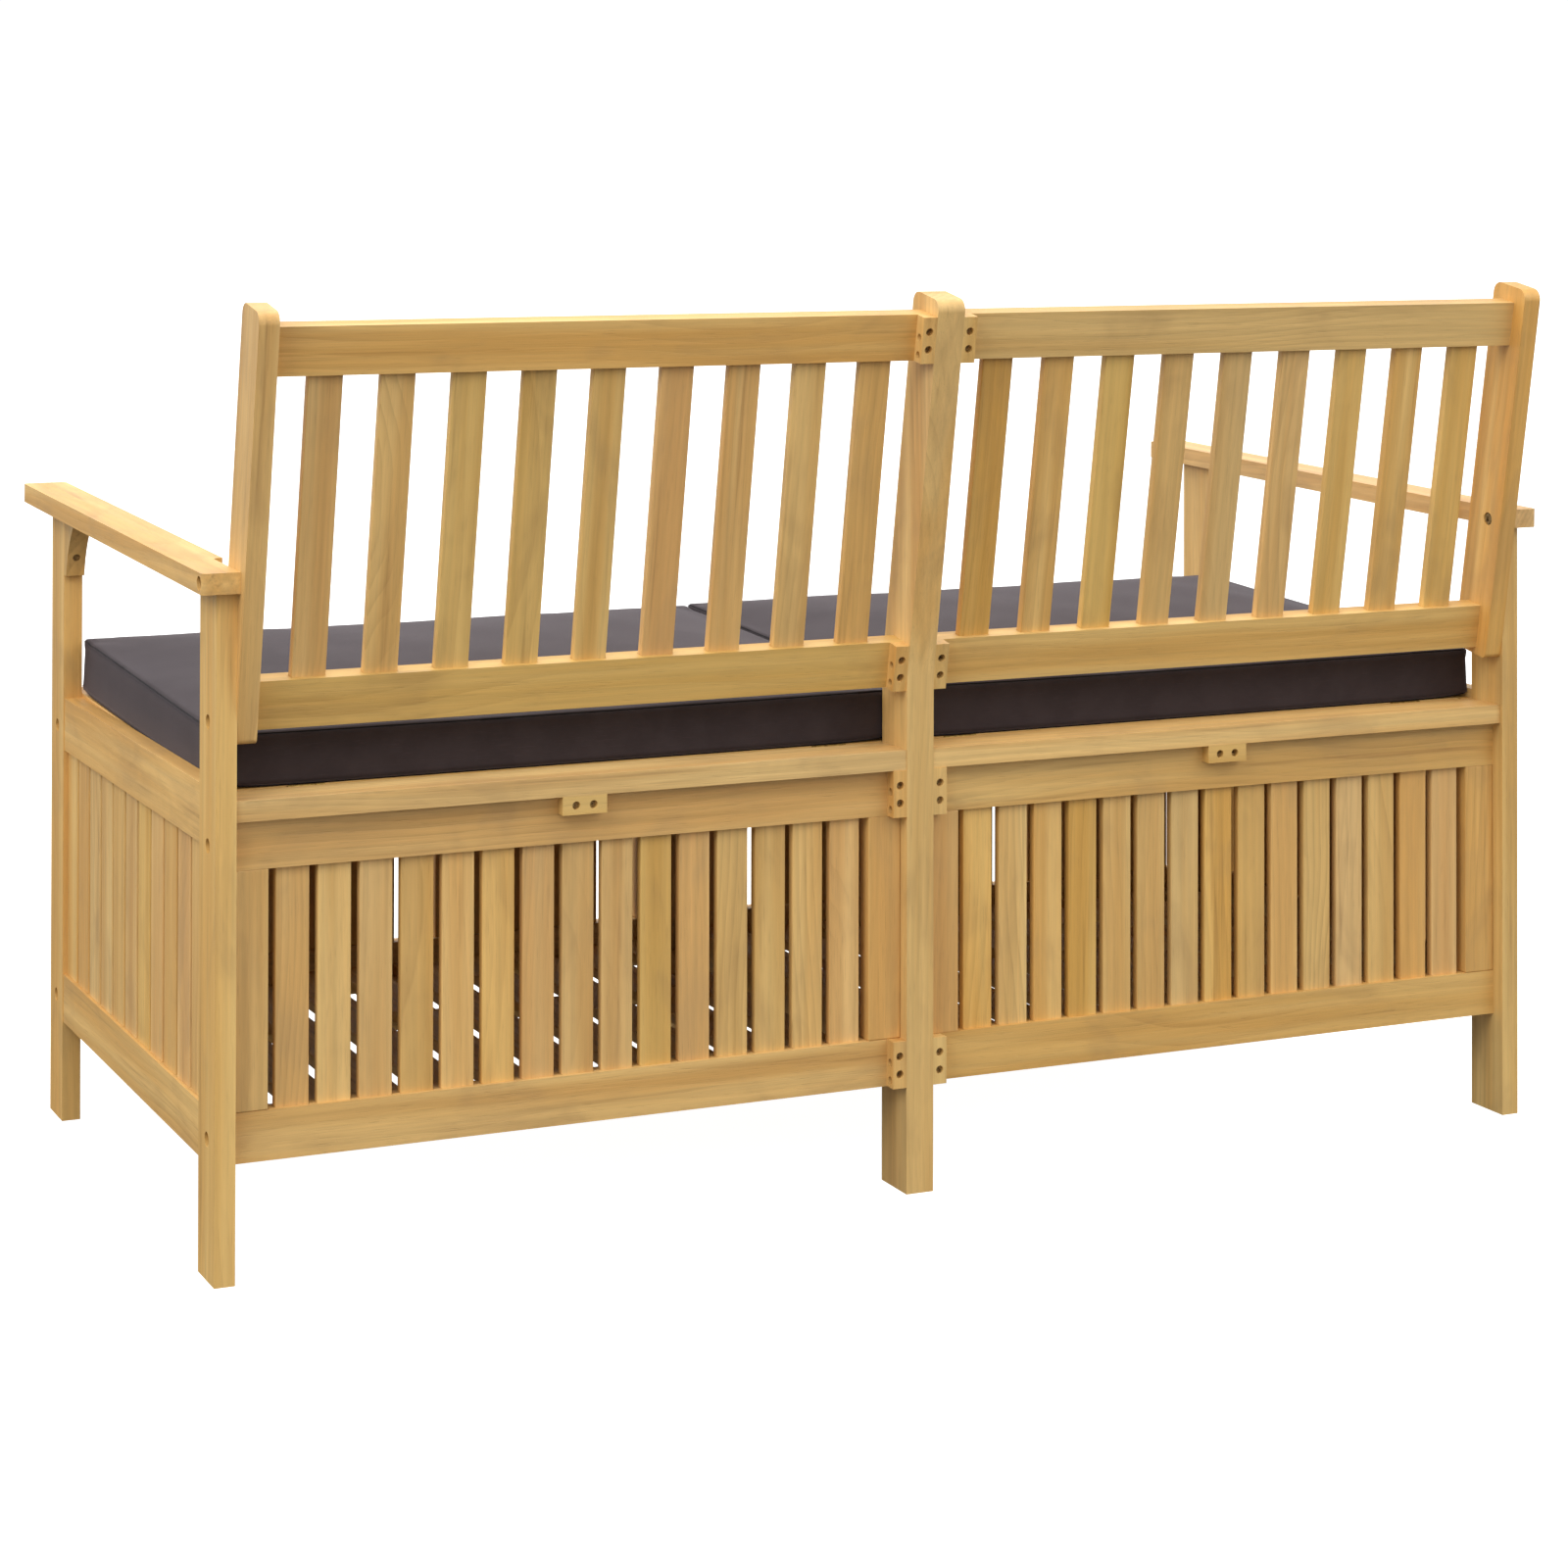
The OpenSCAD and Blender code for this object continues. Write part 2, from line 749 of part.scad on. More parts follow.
// A bolt along -X from an outer face at x, with its length below the counterbore
module leg_bolt(l, cut) {
  play = cut ? bolt_play : 0;
  rotate([0, -90, 0])
    if (cut) {
      translate([0, 0, -20]) cylinder(r = bolt_bore_r, h = bolt_bore_d + 20);
      cylinder(r = bolt_r + play, h = bolt_bore_d + l + 0.2);
    } else {
      difference() {
        union() {
          translate([0, 0, bolt_bore_d - 3.4]) cylinder(r = bolt_head_r, h = 3.4);
          translate([0, 0, bolt_bore_d - 1]) cylinder(r = bolt_r, h = l + 1);
        }
        translate([0, 0, bolt_bore_d - 4.4]) cylinder(r = 2.4, h = 3.2, $fn = 6);
      }
    }
}

// All bolts of the +X half
module leg_bolts(cut) {
  y_r = y_panel_rear - rail_t / 2;
  y_f = y_panel_front + rail_t / 2;
  long = leg_t - bolt_bore_d + 34;
  for (z = [rear_top_z + panel_top_h / 2, rail_z + panel_low_h / 2])
    translate([x_end, y_r, z]) leg_bolt(long, cut);
  for (z = [front_top_z + panel_top_h / 2, rail_z + panel_low_h / 2])
    translate([x_end, y_f, z]) leg_bolt(long, cut);
  translate([x_end, y_rear - leg_d / 2, bend_z - 2])
    leg_bolt(leg_t - bolt_bore_d + stile_t - tenon_l - 2, cut);
  translate([x_end + arm_out, y_rear + 1, arm_bottom(y_rear) + arm_t / 2])
    leg_bolt(arm_out + leg_t - bolt_bore_d + stile_t - 2, cut);
  barrel_cuts(cut);
}

// A nut for the armrest bolt sits in a counterbore of the upright's inner face
module arm_nut(cut) {
  translate([x_in - stile_t, y_rear + 1, arm_bottom(y_rear) + arm_t / 2]) rotate([0, 90, 0])
    if (cut) {
      translate([0, 0, -5]) cylinder(r = bolt_bore_r, h = 11);
    } else {
      translate([0, 0, 1]) difference() {
        cylinder(r = bolt_head_r, h = 5, $fn = 6);
        translate([0, 0, -1]) cylinder(r = bolt_r, h = 7);
      }
    }
}

module at_barrels() {
  y_r = y_panel_rear - rail_t;
  y_f = y_panel_front + rail_t;
  x = x_in - 26;
  translate([x, y_r, rear_top_z + panel_top_h / 2]) rotate([-90, 0, 0]) children();
  translate([x, y_r, rail_z + panel_low_h / 2]) rotate([-90, 0, 0]) children();
  translate([x, y_f, front_top_z + panel_top_h / 2]) rotate([90, 0, 0]) children();
  translate([x, y_f, rail_z + panel_low_h / 2]) rotate([90, 0, 0]) children();
}

module barrel_cuts(cut) {
  if (cut) {
    at_barrels() translate([0, 0, -1]) cylinder(r = 5 + bolt_play, h = rail_t - 4 + 1);
    arm_nut(true);
  }
}

module frame_bolts() {
  color(steel) for (side = [1, -1]) mirrored(side) {
    leg_bolts(false);
    bracket_screws(false);
  }
}

module bolt_nuts() {
  color(steel) for (side = [1, -1]) mirrored(side) union() {
    difference() {
      at_barrels() cylinder(r = 5, h = rail_t - 5);
      leg_bolts_shanks();
    }
    arm_nut(false);
  }
}

module leg_bolts_shanks() {
  y_r = y_panel_rear - rail_t / 2;
  y_f = y_panel_front + rail_t / 2;
  for (z = [rear_top_z + panel_top_h / 2, rail_z + panel_low_h / 2])
    translate([x_end, y_r, z]) rotate([0, -90, 0]) cylinder(r = bolt_r + bolt_play, h = 60);
  for (z = [front_top_z + panel_top_h / 2, rail_z + panel_low_h / 2])
    translate([x_end, y_f, z]) rotate([0, -90, 0]) cylinder(r = bolt_r + bolt_play, h = 60);
}

// ---- lids ----

module lid_slat_set() {
  lid_frame() for (i = [0 : lid_slats_n - 1])
    translate([lid_x0, lid_y0 - (i + 1) * lid_slat_w - i * lid_gap, -lid_slat_t])
      cube([lid_w, lid_slat_w, lid_slat_t]);
}

module lid_slats(side) {
  color(wood_light) mirrored(side) difference() {
    lid_slat_set();
    hinge_relief();
  }
}

function lid_batten_x() = [lid_x0 + 50, x_bay - lid_batten_w / 2, lid_x0 + lid_w - 50 - lid_batten_w];

module lid_battens(side) {
  l = y_hinge + lid_y0 - y_panel_front - rail_t - 6;
  color(wood) mirrored(side) lid_frame() for (x = lid_batten_x())
    translate([x, lid_y0 - l, -lid_slat_t - lid_batten_t]) cube([lid_batten_w, l, lid_batten_t]);
}

// ---- hinges ----

module at_hinges() {
  for (x = [lid_batten_x()[0], lid_batten_x()[2]])
    translate([x + (lid_batten_w - hinge_l) / 2, y_hinge, hinge_z]) children();
}

module hinge_relief() {
  at_hinges() translate([-0.6, 0, 0]) rotate([0, 90, 0]) cylinder(r = knuckle_r + 0.6, h = hinge_l + 1.2);
}

module knuckle(x0, x1, bore) {
  translate([x0, 0, 0]) rotate([0, 90, 0]) difference() {
    cylinder(r = knuckle_r, h = x1 - x0);
    translate([0, 0, -1]) cylinder(r = bore, h = x1 - x0 + 2);
  }
}

// The fixed leaf lies on the board's front edge and carries the two outer knuckles
module hinge_leaves_fixed() {
  leaf_t = lid_rear_gap / 2 - 0.5;
  leaf_h = board_t - 3;
  third = hinge_l / 3;
  color(brass) for (side = [1, -1]) mirrored(side) at_hinges() union() {
    knuckle(0, third - 0.3, pin_r);
    knuckle(2 * third + 0.3, hinge_l, pin_r);
    difference() {
      translate([0, lid_rear_gap / 2 - leaf_t, -leaf_h]) cube([hinge_l, leaf_t, leaf_h]);
      translate([third - 0.3, 0, 0]) rotate([0, 90, 0]) cylinder(r = knuckle_r + 0.4, h = third + 0.6);
      translate([-1, 0, 0]) rotate([0, 90, 0]) cylinder(r = pin_r, h = hinge_l + 2);
    }
  }
}

module hinge_leaves(side) {
  leaf_t = lid_rear_gap / 2 - 0.5;
  leaf_h = board_t - 3;
  third = hinge_l / 3;
  color(brass) mirrored(side) at_hinges() union() {
    knuckle(third, 2 * third, pin_r + pin_play);
    difference() {
      rotate([-seat_tilt, 0, 0])
        translate([0, -lid_rear_gap / 2 - 0.02, -leaf_h]) cube([hinge_l, leaf_t, leaf_h]);
      for (x = [-1, 2 * third])
        translate([x, 0, 0]) rotate([0, 90, 0]) cylinder(r = knuckle_r + 0.4, h = third + 1);
      translate([-1, 0, 0]) rotate([0, 90, 0]) cylinder(r = pin_r + pin_play, h = hinge_l + 2);
    }
  }
}

module hinge_pins() {
  color(steel) for (side = [1, -1]) mirrored(side) at_hinges()
    translate([-0.8, 0, 0]) rotate([0, 90, 0]) cylinder(r = pin_r, h = hinge_l + 1.6);
}

// ---- cushions ----

module cushion(side) {
  r = 14;
  x0 = x_post + cushion_gap;
  x1 = x_in - stile_t - cushion_gap;
  cushion_d = lid_l - cushion_back - 1;
  color(fabric) mirrored(side) lid_frame()
    translate([0, lid_y0 - 1 - cushion_d, 0.3]) linear_extrude(cushion_t) union() {
      translate([x0 + r, 0]) square([x1 - x0 - 2 * r, cushion_d]);
      translate([x0, r]) square([x1 - x0, cushion_d - 2 * r]);
      for (x = [x0 + r, x1 - r]) for (y = [r, cushion_d - r]) translate([x, y]) circle(r);
    }
}

leg_rear(1);  // leg_rear_left
leg_rear(-1);  // leg_rear_right
leg_front(1);  // leg_front_left
leg_front(-1);  // leg_front_right
post_rear();
post_front();
side_top_rail(1);  // side_top_rail_left
side_top_rail(-1);  // side_top_rail_right
side_bottom_rail(1);  // side_bottom_rail_left
side_bottom_rail(-1);  // side_bottom_rail_right
side_slats(1);  // side_slats_left
side_slats(-1);  // side_slats_right
rear_top_rail(1);  // rear_top_rail_left
rear_top_rail(-1);  // rear_top_rail_right
rear_bottom_rail(1);  // rear_bottom_rail_left
rear_bottom_rail(-1);  // rear_bottom_rail_right
rear_stiles();
rear_slats(1);  // rear_slats_left
rear_slats(-1);  // rear_slats_right
front_top_rail(1);  // front_top_rail_left
front_top_rail(-1);  // front_top_rail_right
front_bottom_rail(1);  // front_bottom_rail_left
front_bottom_rail(-1);  // front_bottom_rail_right
front_stiles();
front_slats(1);  // front_slats_left
front_slats(-1);  // front_slats_right
centre_rails();
floor_battens();
floor_slats();
seat_board(1);  // seat_board_left
seat_board(-1);  // seat_board_right
back_stile(1);  // back_stile_left
back_stile(-1);  // back_stile_right
back_top_rail(1);  // back_top_rail_left
back_top_rail(-1);  // back_top_rail_right
back_bottom_rail(1);  // back_bottom_rail_left
back_bottom_rail(-1);  // back_bottom_rail_right
back_slats(1);  // back_slats_left
back_slats(-1);  // back_slats_right
armrest(1);  // armrest_left
armrest(-1);  // armrest_right
arm_brackets();
corner_blocks();
board_blocks();
frame_bolts();
bolt_nuts();
block_screws();
hinge_leaves_fixed();
hinge_pins();
lid_slats(1);  // lid_slats_left
lid_slats(-1);  // lid_slats_right
lid_battens(1);  // lid_battens_left
lid_battens(-1);  // lid_battens_right
hinge_leaves(1);  // hinge_leaves_left
hinge_leaves(-1);  // hinge_leaves_right
cushion(1);  // cushion_left
cushion(-1);  // cushion_right
seat_strips();
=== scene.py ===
"""Looks of the garden storage bench: wood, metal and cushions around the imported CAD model."""
import json
import math

import bmesh
import bpy
import numpy as np
from mathutils import Euler, Matrix, Vector


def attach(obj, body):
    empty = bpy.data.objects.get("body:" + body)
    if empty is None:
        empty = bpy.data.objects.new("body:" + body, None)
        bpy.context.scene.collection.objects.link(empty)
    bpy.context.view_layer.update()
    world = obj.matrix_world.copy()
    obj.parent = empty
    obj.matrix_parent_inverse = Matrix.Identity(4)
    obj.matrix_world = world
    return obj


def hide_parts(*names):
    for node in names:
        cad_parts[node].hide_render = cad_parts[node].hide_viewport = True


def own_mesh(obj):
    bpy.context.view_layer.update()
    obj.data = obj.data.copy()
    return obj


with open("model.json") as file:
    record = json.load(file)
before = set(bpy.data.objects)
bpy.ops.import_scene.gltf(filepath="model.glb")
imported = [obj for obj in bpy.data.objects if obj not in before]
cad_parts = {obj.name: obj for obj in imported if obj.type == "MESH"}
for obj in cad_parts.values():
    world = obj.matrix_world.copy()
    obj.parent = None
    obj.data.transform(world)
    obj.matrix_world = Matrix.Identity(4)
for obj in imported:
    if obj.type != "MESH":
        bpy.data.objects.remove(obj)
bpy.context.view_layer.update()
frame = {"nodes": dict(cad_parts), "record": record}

nodes = frame["nodes"]
record = frame["record"]
slot_of = {part["node"]: part["material_slot"] for part in record["subparts"]}
RECLINE = math.radians(10.3)
SEAT_TILT = math.radians(1.5)


# ---------- small helpers for shader trees ----------

class Tree:
    """Adds and joins shader nodes with little writing."""

    def __init__(self, tree):
        self.tree = tree

    def add(self, kind, **settings):
        node = self.tree.nodes.new(kind)
        for name, value in settings.items():
            setattr(node, name, value)
        return node

    def put(self, node, socket, value):
        target = node.inputs[socket]
        if isinstance(value, bpy.types.NodeSocket):
            self.tree.links.new(value, target)
        else:
            target.default_value = value

    def math(self, operation, a, b=0.0, c=0.0):
        node = self.add("ShaderNodeMath", operation=operation)
        for index, value in enumerate((a, b, c)):
            self.put(node, index, value)
        return node.outputs[0]

    def vector(self, operation, a, b=(0, 0, 0), c=(0, 0, 0)):
        node = self.add("ShaderNodeVectorMath", operation=operation)
        for index, value in enumerate((a, b, c)):
            self.put(node, index, value)
        return node.outputs["Vector"]

    def noise(self, vector, scale=1.0, detail=2.0, rough=0.5, distortion=0.0):
        """Noise; its features are 1/scale in size, and a stretched vector gives streaks."""
        node = self.add("ShaderNodeTexNoise", noise_dimensions="3D")
        self.put(node, "Vector", vector)
        self.put(node, "Scale", scale)
        self.put(node, "Detail", detail)
        self.put(node, "Roughness", rough)
        self.put(node, "Distortion", distortion)
        return node.outputs["Fac"]

    def ramp(self, value, low, high, to_low=0.0, to_high=1.0):
        """A smooth step from to_low at low to to_high at high."""
        node = self.add("ShaderNodeMapRange", interpolation_type="SMOOTHSTEP", clamp=True)
        for index, number in enumerate((value, low, high, to_low, to_high)):
            self.put(node, index, number)
        return node.outputs[0]

    def mix(self, factor, a, b):
        node = self.add("ShaderNodeMix", data_type="RGBA", blend_type="MIX")
        self.put(node, 0, factor)
        self.put(node, 6, a)
        self.put(node, 7, b)
        return node.outputs[2]


def rgb(red, green, blue):
    """An sRGB colour, 0 to 255, as a linear one."""
    def linear(value):
        value /= 255
        return value / 12.92 if value <= 0.04045 else ((value + 0.055) / 1.055) ** 2.4
    return (linear(red), linear(green), linear(blue), 1.0)


# ---------- wood ----------

WOOD_LIGHT = rgb(234, 195, 128)
WOOD_BASE = rgb(223, 181, 113)
WOOD_WARM = rgb(215, 166, 98)
WOOD_BROWN = rgb(142, 97, 55)
WOOD_GREY = rgb(190, 153, 101)
KNOT_CORE = rgb(96, 62, 36)
PORE = rgb(120, 84, 50)


def wood_group():
    """Grain for a board: Place runs along it in X, from its middle; Board tells boards apart."""
    group = bpy.data.node_groups.new("wood_grain", "ShaderNodeTree")
    for name in ("Place", "Board"):
        group.interface.new_socket(name, in_out="INPUT", socket_type="NodeSocketVector")
    group.interface.new_socket("Color", in_out="OUTPUT", socket_type="NodeSocketColor")
    group.interface.new_socket("Roughness", in_out="OUTPUT", socket_type="NodeSocketFloat")
    group.interface.new_socket("Height", in_out="OUTPUT", socket_type="NodeSocketFloat")
    t = Tree(group)
    inputs = t.add("NodeGroupInput")
    place, board = inputs.outputs["Place"], inputs.outputs["Board"]

    white = t.add("ShaderNodeTexWhiteNoise", noise_dimensions="3D")
    t.put(white, "Vector", board)
    luck = t.add("ShaderNodeSeparateXYZ")
    t.put(luck, 0, white.outputs["Color"])
    luck_x, luck_y, luck_z = luck.outputs
    shifted = t.vector("ADD", place, t.vector("MULTIPLY", white.outputs["Color"], (9.0, 4.0, 4.0)))

    # growth rings round a pith that lies beside the board and wanders along it
    local = t.add("ShaderNodeSeparateXYZ")
    t.put(local, 0, place)
    along = t.vector("MULTIPLY", shifted, (1.1, 0.0, 0.0))
    wander_a = t.math("MULTIPLY", t.math("SUBTRACT", t.noise(along, 1.0, 2.0), 0.5), 0.14)
    along_b = t.vector("ADD", along, (7, 3, 5))
    wander_b = t.math("MULTIPLY", t.math("SUBTRACT", t.noise(along_b, 1.0, 2.0), 0.5), 0.10)
    pith_a = t.math("MULTIPLY_ADD", t.math("SUBTRACT", luck_x, 0.5), 0.26, wander_a)
    pith_b = t.math("MULTIPLY_ADD", luck_y, 0.10, t.math("ADD", wander_b, 0.015))
    offset_a = t.math("SUBTRACT", local.outputs["Y"], pith_a)
    offset_b = t.math("SUBTRACT", local.outputs["Z"], pith_b)
    square_a = t.math("MULTIPLY", offset_a, offset_a)
    square_b = t.math("MULTIPLY", offset_b, offset_b)
    radius = t.math("SQRT", t.math("ADD", square_a, square_b))

    # knots push the rings aside and darken their middles
    cells = t.add("ShaderNodeTexVoronoi", feature="F1", voronoi_dimensions="3D")
    t.put(cells, "Vector", t.vector("MULTIPLY", shifted, (2.6, 7.0, 7.0)))
    t.put(cells, "Scale", 1.0)
    rare = t.add("ShaderNodeSeparateXYZ")
    t.put(rare, 0, cells.outputs["Color"])
    chosen = t.math("GREATER_THAN", rare.outputs["X"], 0.72)
    near = t.math("MULTIPLY", t.ramp(cells.outputs["Distance"], 0.02, 0.42, 1.0, 0.0), chosen)
    push = t.math("MULTIPLY", near, 0.022)
    core = t.math("MULTIPLY", t.ramp(cells.outputs["Distance"], 0.02, 0.075, 1.0, 0.0),
                  t.math("GREATER_THAN", rare.outputs["X"], 0.86))

    waves = t.noise(t.vector("MULTIPLY", shifted, (4, 26, 26)), 1.0, 3.0)
    ripple = t.math("MULTIPLY", t.math("SUBTRACT", waves, 0.5), 0.0075)
    ring_at = t.math("ADD", t.math("ADD", radius, push), ripple)
    spacing = t.math("MULTIPLY_ADD", luck_z, 0.0055, 0.0055)
    ring = t.math("FRACT", t.math("DIVIDE", ring_at, spacing))
    late = t.math("MULTIPLY", t.math("POWER", ring, 2.2), t.ramp(ring, 0.93, 1.0, 1.0, 0.0))
    cloud = t.noise(t.vector("MULTIPLY", shifted, (2.2, 9, 9)), 1.0, 2.0)
    figure = t.ramp(cloud, 0.42, 0.68, 0.12, 0.62)
    figured = t.math("MULTIPLY", late, t.math("ADD", figure, t.math("MULTIPLY", near, 0.35)))

    # fibres and streaks along the grain
    broad = t.noise(t.vector("MULTIPLY", shifted, (1.3, 34, 34)), 1.0, 2.0)
    streak = t.noise(t.vector("MULTIPLY", shifted, (3.0, 150, 150)), 1.0, 3.0, 0.6)
    fibre = t.noise(t.vector("MULTIPLY", shifted, (16, 800, 800)), 1.0, 2.0, 0.6)
    blotch = t.noise(t.vector("MULTIPLY", shifted, (7, 17, 17)), 1.0, 3.0, 0.6, 0.6)
    vein = t.noise(t.vector("MULTIPLY", shifted, (2.0, 70, 70)), 1.0, 3.0, 0.65)
    mineral = t.ramp(vein, 0.60, 0.78)
    speck = t.noise(t.vector("MULTIPLY", shifted, (38, 1500, 1500)), 1.0, 1.0)
    pore = t.ramp(speck, 0.62, 0.74)

    tone = t.mix(t.ramp(broad, 0.30, 0.70), WOOD_LIGHT, WOOD_BASE)
    warmth = t.ramp(t.math("ADD", broad, t.math("MULTIPLY", luck_y, 0.25)), 0.50, 0.85)
    tone = t.mix(t.math("MULTIPLY", warmth, 0.75), tone, WOOD_WARM)
    tone = t.mix(t.math("MULTIPLY", t.ramp(blotch, 0.46, 0.75), 0.50), tone, WOOD_GREY)
    tone = t.mix(t.math("MULTIPLY", figured, 0.42), tone, WOOD_BROWN)
    tone = t.mix(t.math("MULTIPLY", mineral, 0.48), tone, WOOD_BROWN)
    tone = t.mix(t.math("MULTIPLY", core, 0.65), tone, KNOT_CORE)
    tone = t.mix(t.math("MULTIPLY", pore, 0.16), tone, PORE)
    fine = t.math("MULTIPLY_ADD", t.math("SUBTRACT", fibre, 0.5), 0.14, 1.0)
    change = t.math("MULTIPLY_ADD", t.math("SUBTRACT", streak, 0.5), 0.44, fine)
    shade = t.add("ShaderNodeHueSaturation")
    t.put(shade, "Hue", t.math("MULTIPLY_ADD", luck_x, 0.007, 0.4965))
    t.put(shade, "Saturation", t.math("MULTIPLY_ADD", luck_z, 0.10, 0.99))
    t.put(shade, "Value", t.math("MULTIPLY", change, t.math("MULTIPLY_ADD", luck_y, 0.15, 0.92)))
    t.put(shade, "Color", tone)

    outputs = t.add("NodeGroupOutput")
    t.put(outputs, "Color", shade.outputs["Color"])
    dull = t.math("MULTIPLY", t.math("ADD", figured, pore), 0.10)
    t.put(outputs, "Roughness", t.math("ADD", t.math("MULTIPLY_ADD", streak, 0.16, 0.40), dull))
    height = t.math("MULTIPLY_ADD", fibre, 0.5, t.math("MULTIPLY", streak, 0.6))
    dents = t.math("MULTIPLY_ADD", late, 0.25, t.math("MULTIPLY", pore, 0.8))
    t.put(outputs, "Height", t.math("SUBTRACT", height, dents))
    return group


SAME_POINT = 0.00005


def board_boxes(obj):
    """The lowest and highest corners of each separate board in a node's mesh."""
    mesh = obj.data
    points = np.array([v.co for v in mesh.vertices])
    keys = [tuple(k) for k in np.round(points / SAME_POINT).astype(int)]
    parent = {}

    def find(key):
        while parent[key] != key:
            parent[key] = parent[parent[key]]
            key = parent[key]
        return key

    for key in keys:
        parent[key] = key
    for polygon in mesh.polygons:
        first = find(keys[polygon.vertices[0]])
        for index in polygon.vertices[1:]:
            other = find(keys[index])
            if other != first:
                parent[other] = first
    groups = {}
    for key, point in zip(keys, points):
        groups.setdefault(find(key), []).append(point)
    return [(np.min(group, 0), np.max(group, 0)) for group in groups.values()]


def board_layout(obj):
    """How a node's boards repeat: the step between them, the first's middle, and if X mirrors."""
    boxes = board_boxes(obj)
    low, high = np.min([b[0] for b in boxes], 0), np.max([b[1] for b in boxes], 0)
    mirror = low[0] < 0 < high[0] and all(b[0][0] > 0 or b[1][0] < 0 for b in boxes)
    if mirror:
        boxes = [b for b in boxes if b[0][0] > 0]
    middles = np.array([(b[0] + b[1]) / 2 for b in boxes])
    size = np.max([b[1] - b[0] for b in boxes], 0)
    step, first = np.zeros(3), np.mean(middles, 0)
    for axis in range(3):
        places = np.unique(np.round(middles[:, axis], 3))
        if len(places) < 2:
            continue
        gaps = np.diff(places)
        if gaps.min() > size[axis] * 0.98 and gaps.max() < gaps.min() * 1.3:
            step[axis] = (places[-1] - places[0]) / (len(places) - 1)
            first[axis] = places[0]
    return step, first, mirror


GRAIN_TURN = {
    "X": (0, 0, 0),
    "Y": (0, 0, math.pi / 2),
    "Z": (0, math.pi / 2, 0),
}


def wood(obj, grain, seed, lean):
    """Wood for a node, its grain along X, Y or Z after undoing the lean about X."""
    material = bpy.data.materials.new("wood_" + obj.name)
    material.use_nodes = True
    t = Tree(material.node_tree)
    shader = material.node_tree.nodes["Principled BSDF"]
    step, first, mirror = board_layout(obj)
    coordinate = t.add("ShaderNodeTexCoord").outputs["Object"]
    side = (0, 0, 0)
    if mirror:
        signed = t.add("ShaderNodeSeparateXYZ")
        t.put(signed, 0, coordinate)
        flip = t.add("ShaderNodeCombineXYZ")
        t.put(flip, 0, t.math("SIGN", signed.outputs[0]))
        side = flip.outputs[0]
        coordinate = absolute_x(t, signed)
    inverse = tuple(1 / s if s else 0 for s in step)
    start = tuple(0.5 - f / s if s else 0 for f, s in zip(first, step))
    number = t.vector("FLOOR", t.vector("MULTIPLY_ADD", coordinate, inverse, start))
    middle = t.vector("MULTIPLY_ADD", number, tuple(step), tuple(first))
    local = t.vector("SUBTRACT", coordinate, middle)
    unlean = t.add("ShaderNodeVectorRotate")
    unlean.rotation_type = "EULER_XYZ"
    t.put(unlean, "Vector", local)
    t.put(unlean, "Rotation", (lean, 0, 0))
    turn = t.add("ShaderNodeVectorRotate")
    turn.rotation_type = "EULER_XYZ"
    t.put(turn, "Vector", unlean.outputs[0])
    t.put(turn, "Rotation", tuple(-a for a in GRAIN_TURN[grain]))
    grain_node = t.add("ShaderNodeGroup")
    grain_node.node_tree = WOOD
    t.put(grain_node, "Place", turn.outputs[0])
    board = t.vector("ADD", t.vector("ADD", number, side), (seed * 1.37, seed * 0.71, seed * 0.13))
    t.put(grain_node, "Board", board)
    t.put(shader, "Base Color", grain_node.outputs["Color"])
    t.put(shader, "Roughness", grain_node.outputs["Roughness"])
    bump = t.add("ShaderNodeBump")
    t.put(bump, "Height", grain_node.outputs["Height"])
    bump.inputs["Strength"].default_value = 0.35
    bump.inputs["Distance"].default_value = 0.0006
    t.put(shader, "Normal", bump.outputs[0])
    shader.inputs["Specular IOR Level"].default_value = 0.42
    shader.inputs["Coat Weight"].default_value = 0.06
    shader.inputs["Coat Roughness"].default_value = 0.35
    return material


def absolute_x(t, separate):
    """The same place with X made positive."""
    join = t.add("ShaderNodeCombineXYZ")
    t.put(join, 0, t.math("ABSOLUTE", separate.outputs[0]))
    t.put(join, 1, separate.outputs[1])
    t.put(join, 2, separate.outputs[2])
    return join.outputs[0]


# ---------- metal ----------

def metal(name, colour, dark, roughness):
    """Plated steel with small scratches, dull patches and dirt."""
    material = bpy.data.materials.new(name)
    material.use_nodes = True
    t = Tree(material.node_tree)
    shader = material.node_tree.nodes["Principled BSDF"]
    place = t.add("ShaderNodeTexCoord").outputs["Object"]
    cloud = t.noise(place, 260.0, 4.0, 0.6)
    scratch = t.noise(t.vector("MULTIPLY", place, (900, 3000, 900)), 1.0, 2.0, 0.6)
    tone = t.mix(t.ramp(cloud, 0.40, 0.66), colour, dark)
    t.put(shader, "Base Color", tone)
    worn = t.math("ADD", cloud, scratch)
    t.put(shader, "Roughness", t.math("ADD", roughness, t.math("MULTIPLY", worn, 0.16)))
    shader.inputs["Metallic"].default_value = 1.0
    bump = t.add("ShaderNodeBump")
    t.put(bump, "Height", t.math("ADD", scratch, cloud))
    bump.inputs["Strength"].default_value = 0.25
    bump.inputs["Distance"].default_value = 0.0001
    t.put(shader, "Normal", bump.outputs[0])
    return material


WOOD = wood_group()
ZINC = metal("zinc_plated_steel", rgb(170, 142, 96), rgb(96, 74, 46), 0.34)
BRASS = metal("yellow_plated_steel", rgb(192, 160, 92), rgb(128, 98, 52), 0.28)

GRAIN = {"Z": ("leg_", "post_", "side_slats", "rear_stiles", "rear_slats", "front_stiles",
               "front_slats", "back_stile", "back_slats", "corner_blocks", "arm_brackets"),
         "Y": ("side_top", "side_bottom", "centre_rails", "floor_slats", "armrest",
               "lid_battens", "seat_strips")}


